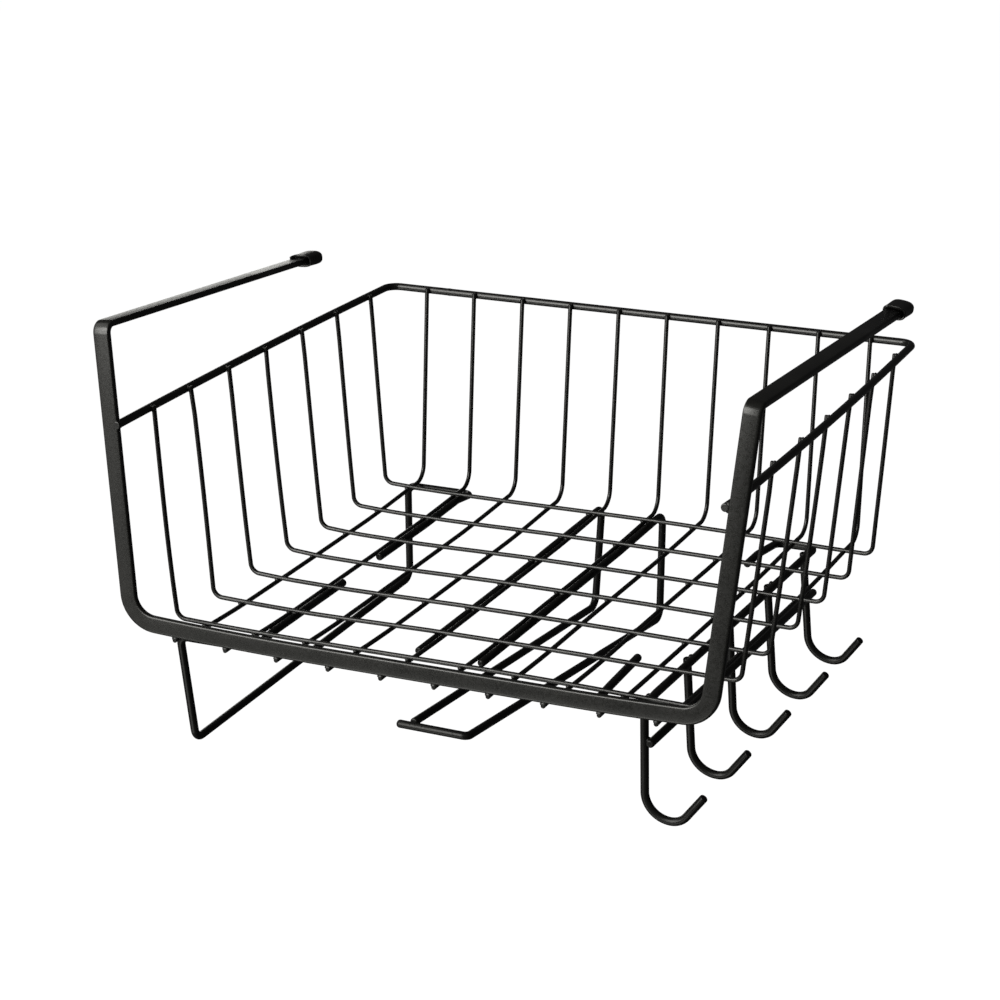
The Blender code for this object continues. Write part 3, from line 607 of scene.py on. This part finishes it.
def arm_cap(name, side, node):
    """Moulded cap: an oval sleeve with a blunt end and a flared mouth with a small flap."""
    arm = Arm(side)
    across = arm.along.cross(arm.up)
    n = 56
    ang = [2 * math.pi * i / n for i in range(n)]

    def lip(t):
        """How far the mouth reaches beyond its middle line at this place round the section."""
        up, down = max(0.0, math.sin(t)) ** 1.5, max(0.0, -math.sin(t))
        if side > 0:
            return 0.7 * up + 0.7 * math.exp(-((t - 2.35) / 0.45) ** 2)
        return 0.5 * up + 3.0 * math.exp(-((t - 2.5) / 0.42) ** 2) - 2.6 * down ** 0.8 - 0.8 * max(0.0, math.cos(t))

    # outer skin, from the middle of the blunt end to the mouth: (y, half width, half height, exponent)
    end = CAP_LEN - CAP_GRIP
    skin = [(end - 0.02, 1.5, 0.9, 2.2), (end - 0.10, 3.2, 1.8, 2.4), (end - 0.24, 4.8, 2.7, 2.6)]
    for j in range(0, 8):
        a = math.pi / 2 * j / 7
        skin.append((end - 0.36 - 2.2 * (1 - math.cos(a)), 5.55 + 2.2 * math.sin(a), 3.05 + 1.7 * math.sin(a), 2.7))
    skin += [(-2.5, 7.80, 4.80, 2.7), (-5.5, 7.76, 4.76, 2.7), (-8.5, 7.70, 4.68, 2.7), (-11.5, 7.66, 4.62, 2.7),
             (-14.0, 7.66, 4.60, 2.7), (-15.8, 7.72, 4.65, 2.7)]
    rolled = [(-16.8, 7.78, 4.70, 2.7), (-17.3, 7.80, 4.72, 2.7), (-17.65, 7.66, 4.60, 2.7), (-17.8, 7.36, 4.30, 2.7),
              (-17.8, 6.95, 3.80, 2.9), (-17.7, 6.50, 3.20, 3.3), (-17.5, 6.15, 2.70, 4.0), (-17.0, 5.98, 2.42, 5.0),
              (-13.0, 5.96, 2.36, 6.0)]
    rows = skin + rolled
    verts = [arm.tip + arm.along * (end * MM) - arm.up * (0.2 * MM)]
    faces = []
    low = -0.2                                    # the sleeve sits a touch low on the strip
    for y, a, b, ex in rows:
        share = min(1.0, max(0.0, (-y - 10.5) / 6.5))
        for t in ang:
            px, pz = super_point(a, b, ex, t)
            verts.append(arm.tip + across * (px * MM) + arm.up * ((pz + low) * MM)
                         + arm.along * ((y - lip(t) * share) * MM))
    for i in range(n):
        faces.append((0, 1 + i, 1 + (i + 1) % n))
    for r in range(len(rows) - 1):
        for i in range(n):
            a0, a1 = 1 + r * n, 1 + (r + 1) * n
            j = (i + 1) % n
            faces.append((a0 + i, a1 + i, a1 + j, a0 + j))
    last = 1 + (len(rows) - 1) * n
    faces.append(tuple(last + i for i in range(n)))
    ob = new_mesh(name, verts, faces, PLASTIC)
    return place(ob, "cap_plastic", node)


# ------------------------------------------------------------------ welds
def nugget(centre, u, v, w, a, b, h, rnd):
    """One weld: a squashed, slightly uneven bead between two wires.  Millimetres."""
    u, v, w = [np.asarray(x, float) / np.linalg.norm(x) for x in (u, v, w)]
    rows, cols = 8, 16
    verts = [centre + w * h]
    for i in range(1, rows):
        p = math.pi * i / rows
        for j in range(cols):
            t = 2 * math.pi * j / cols
            sp = math.sin(p) ** 0.8
            ct, st = math.cos(t), math.sin(t)
            k = (abs(ct) ** 2.6 + abs(st) ** 2.6) ** (-1 / 2.6)      # rounded square footprint
            bump = 1.0 + 0.07 * rnd.uniform(-1, 1)
            verts.append(centre + (u * a * ct + v * b * st) * sp * k * bump + w * h * math.cos(p))
    verts.append(centre - w * h)
    faces = []
    for j in range(cols):
        faces.append((0, 1 + j, 1 + (j + 1) % cols))
    for i in range(rows - 2):
        for j in range(cols):
            a0, a1 = 1 + i * cols, 1 + (i + 1) * cols
            k = (j + 1) % cols
            faces.append((a0 + j, a1 + j, a1 + k, a0 + k))
    last = 1 + (rows - 2) * cols
    end = len(verts) - 1
    for j in range(cols):
        faces.append((end, last + (j + 1) % cols, last + j))
    return verts, faces


def contacts(lines):
    """Where two different wires cross and touch: (point a, point b, direction a, direction b, radius a, radius b)."""
    seg = []
    for w, (name, pts, r) in enumerate(lines):
        fine = [pts[0]]
        for p, q in zip(pts[:-1], pts[1:]):
            n = max(1, int(np.linalg.norm(q - p) / 12.0))
            fine += [p + (q - p) * (j / n) for j in range(1, n + 1)]
        fine = np.array(fine)
        for p, q in zip(fine[:-1], fine[1:]):
            if np.linalg.norm(q - p) > 1e-6:
                seg.append((w, p, q, r))
    own = np.array([s[0] for s in seg])
    p = np.array([s[1] for s in seg])
    d = np.array([s[2] for s in seg]) - p
    r = np.array([s[3] for s in seg])
    mid, half = p + d / 2, np.linalg.norm(d, axis=1) / 2
    found = []
    for i in range(len(seg)):
        near = np.where((own > own[i]) & (np.linalg.norm(mid - mid[i], axis=1) < half + half[i] + r + r[i] + 1.0))[0]
        for j in near:
            a, b, c = d[i] @ d[i], d[i] @ d[j], d[j] @ d[j]
            if b * b > 0.6 * a * c:
                continue                                       # side by side, not crossing
            w0 = p[i] - p[j]
            den = a * c - b * b
            s = min(1.0, max(0.0, (b * (d[j] @ w0) - c * (d[i] @ w0)) / den))
            t = min(1.0, max(0.0, (d[j] @ w0 + b * s) / c))
            s = min(1.0, max(0.0, (b * t - d[i] @ w0) / a))
            x, y = p[i] + d[i] * s, p[j] + d[j] * t
            gap = np.linalg.norm(x - y) - r[i] - r[j]
            if gap < 0.75:
                found.append((gap, x, y, d[i], d[j], r[i], r[j], own[i], own[j]))
    found.sort(key=lambda f: f[0])
    kept = []
    for f in found:
        if all(f[7:] != g[7:] or np.linalg.norm(f[1] - g[1]) > 5.0 for g in kept):
            kept.append(f)
    return kept


def weld_groups(lines):
    rnd = random.Random(7)
    groups = {}
    names = [n for n, _, _ in lines]

    def group_of(a, b):
        both = names[a] + names[b]
        if "rim" in both:
            return "welds_rim"
        if "bar" in both or "roll" in both or "rail" in both or "hook" in both:
            return "welds_accessories"
        return "welds_floor"

    def add(group, verts, faces):
        v0, f0 = groups.setdefault(group, ([], []))
        n = len(v0)
        v0 += verts
        f0 += [tuple(i + n for i in f) for f in faces]

    for gap, x, y, da, db, ra, rb, oa, ob in contacts(lines):
        w = x - y
        w = w / np.linalg.norm(w)
        u = da / np.linalg.norm(da)
        v = np.cross(w, u)
        # between the two surfaces, where the melt was squeezed out
        centre = y + w * (rb + (np.linalg.norm(x - y) - ra - rb) / 2)
        thin = min(ra, rb)
        a = rnd.uniform(1.18, 1.36) * (thin if rb == thin else min(rb, 1.35 * thin))
        b = rnd.uniform(1.18, 1.36) * (thin if ra == thin else min(ra, 1.35 * thin))
        if thin > 2.0:                           # between two rods the melt stays in the notch
            a, b = 0.72 * a, 0.72 * b
        add(group_of(oa, ob), *nugget(centre, u, v, w, a, b, 0.62 * thin + 0.25, rnd))
    # the long wires' ends under the front strip
    for k in range(1, LONG_N + 1):
        c = np.array((long_x(k, 2.0) + 1.2, 2.05, bar_rise(long_x(k, 2.0)) - 0.55))
        add("welds_front", *nugget(c, (1, 0, 0), (0, 1, 0), (0, 0, 1), rnd.uniform(2.2, 2.5), 2.0, 1.5, rnd))
    # the rim's ends are welded to the uprights' inner edges
    for side, high, wide in ((-1, 2.5, 1.7), (1, 3.7, 2.3)):
        c = np.array((inner_edge(side, RIM_Z) - side * 0.25, 2.0, RIM_Z + (0.7 if side > 0 else 0.0)))
        add("welds_front", *nugget(c, (0, 1, 0), (0, 0, 1), (side, 0, 0), 1.9, high, wide, rnd))
    for name, (verts, faces) in sorted(groups.items()):
        place(new_mesh(name, world(np.array(verts)), faces, COAT_WELD), "black_powder_coat")


# ------------------------------------------------------------------ the basket
def basket():
    front_frame()
    arm_cap("cap_left", -1, "arm_cap_left")
    arm_cap("cap_right", 1, "arm_cap_right")
    lines = [("rim", rim_route(), RIM_R)]
    wire("rim", lines[0][1], RIM_R + COAT_T, COAT, 32, "rim_wire", 0.22, rim_swell)
    for k in range(1, LONG_N + 1):
        pts = long_route(k)
        lines.append(("long_%02d" % k, pts, THIN_R))
        wire("grid_long_%02d" % k, pts, THIN_R + COAT_T, COAT, 22, "long_wire_%02d" % k)
    for k in range(1, CROSS_N + 1):
        pts = cross_route(k)
        lines.append(("cross_%d" % k, pts, THIN_R))
        wire("grid_cross_%d" % k, pts, THIN_R + COAT_T, COAT, 22, "cross_wire_%d" % k)
    rods = [("bar", bar_route(), "towel_bar"), ("roll_left", roll_left_route(), "roll_rod_left"),
            ("roll_right", roll_right_route(), "roll_rod_right"), ("rail_upper", rail_route(), "hook_rail_upper"),
            ("rail_lower", lower_rail_route(), "hook_rail_lower")]
    rods += [("hook_%d" % k, hook_route(k), "hook_%d" % k) for k in range(1, HOOK_N + 1)]
    for name, pts, node in rods:
        lines.append((name, pts, ROD_R))
        thick = COAT_T + (0.10 if name.startswith("hook") else 0.06)
        wire("rod_" + name, pts, ROD_R + thick, COAT_ROD, 28, node, 0.75 if name == "roll_right" else 0.4)
    weld_groups(lines)


# ------------------------------------------------------------------ camera, floor, light
def camera():
    yaw, pitch, roll, f = 0.4245, 0.3226, -0.0026, 2.89477
    d = np.array((-math.sin(yaw) * math.cos(pitch), math.cos(yaw) * math.cos(pitch), -math.sin(pitch)))
    r = np.array((math.cos(yaw), math.sin(yaw), 0.0))
    u = np.cross(r, d)
    r2 = math.cos(roll) * r + math.sin(roll) * u
    u2 = -math.sin(roll) * r + math.cos(roll) * u
    half_pixel = 0.0005 / f
    d = d - half_pixel * r2 + half_pixel * u2
    d /= np.linalg.norm(d)
    r2 = r2 - d * (r2 @ d)
    r2 /= np.linalg.norm(r2)
    u2 = np.cross(r2, d)
    cam = bpy.data.cameras.new("camera")
    cam.sensor_width = 36.0
    cam.lens = 36.0 * f
    cam.clip_start, cam.clip_end = 0.05, 200.0
    ob = bpy.data.objects.new("camera", cam)
    m = Matrix(((r2[0], u2[0], -d[0]), (r2[1], u2[1], -d[1]), (r2[2], u2[2], -d[2]))).to_4x4()
    m.translation = Vector(world((727.0865, -1468.3541, 663.0561)))
    ob.matrix_world = m
    bpy.context.scene.collection.objects.link(ob)
    bpy.context.scene.camera = ob


def floor():
    """Pale floor well below the hanging basket, swept up all round into a pale wall."""
    rings = [(0.0, 0.0), (6.0, 0.0), (12.0, 0.0)]
    rings += [(12.0 + 6.0 * math.sin(a), 6.0 - 6.0 * math.cos(a)) for a in np.linspace(0.1, math.pi / 2, 16)]
    rings += [(18.0, 10.0), (18.0, 18.0)]
    n = 96
    verts, faces = [(0.0, 0.0, -2.9)], []
    for rad, z in rings[1:]:
        verts += [(rad * math.cos(2 * math.pi * i / n), rad * math.sin(2 * math.pi * i / n), z - 2.9) for i in range(n)]
    for i in range(n):
        faces.append((0, 1 + i, 1 + (i + 1) % n))
    for a in range(len(rings) - 2):
        for i in range(n):
            p, q, j = 1 + a * n, 1 + (a + 1) * n, (i + 1) % n
            faces.append((p + i, q + i, q + j, p + j))
    mat, nt, bsdf = node_material("studio_white")
    coord = nt.nodes.new("ShaderNodeTexCoord").outputs["Object"]
    soft = noise_node(nt, coord, 0.4, 1.0)
    bsdf.inputs["Base Color"].default_value = (0.8, 0.8, 0.8, 1)
    bsdf.inputs["Specular IOR Level"].default_value = 0.1
    nt.links.new(map_range(nt, soft.outputs["Fac"], 0.3, 0.7, 0.88, 0.92), bsdf.inputs["Roughness"])
    bsdf.inputs["Emission Color"].default_value = (1, 1, 1, 1)
    bsdf.inputs["Emission Strength"].default_value = 0.97
    ob = new_mesh("studio_floor", verts, faces, mat)
    ob.visible_glossy = False
    ob.visible_diffuse = False
    ob.visible_shadow = False


def softbox(name, azimuth, elevation, distance, width, height, power, spread=180.0):
    """Soft rectangular light aimed at the basket; azimuth 0 is in front, positive to the right."""
    centre = Vector((0.0, 0.03, -0.12))
    a, e = math.radians(azimuth), math.radians(elevation)
    back = Vector((math.sin(a) * math.cos(e), -math.cos(a) * math.cos(e), math.sin(e)))
    li = bpy.data.lights.new(name, 'AREA')
    li.shape = 'RECTANGLE'
    li.size, li.size_y = width, height
    li.energy = power
    li.color = (1.0, 0.995, 0.95)
    li.spread = math.radians(spread)
    ob = bpy.data.objects.new(name, li)
    ob.location = centre + back * distance
    ob.rotation_mode = 'QUATERNION'
    ob.rotation_quaternion = back.to_track_quat('Z', 'Y')
    ob.visible_camera = False
    bpy.context.scene.collection.objects.link(ob)
    return ob


def studio():
    scene = bpy.context.scene
    scene.view_settings.view_transform = 'Standard'
    scene.view_settings.look = 'None'
    world_ = bpy.data.worlds.new("studio")
    world_.use_nodes = True
    bg = next(n for n in world_.node_tree.nodes if n.type == 'BACKGROUND')
    bg.inputs["Color"].default_value = (1.0, 1.0, 1.0, 1)
    bg.inputs["Strength"].default_value = 0.035
    scene.world = world_
    softbox("key_front_left", -25, 4, 3.0, 1.7, 0.95, 36)
    softbox("key_high", -28, 29, 3.1, 1.9, 1.55, 76)
    softbox("key_upper_left", -70, 46, 3.2, 2.0, 1.6, 14)
    softbox("fill_low_left", -56, -18, 3.2, 3.2, 1.3, 6)
    softbox("fill_below", -22, -42, 3.0, 1.8, 1.1, 14)
    softbox("edge_back_left", -134, 0, 3.4, 2.0, 1.0, 11)


camera()
floor()
studio()
basket()
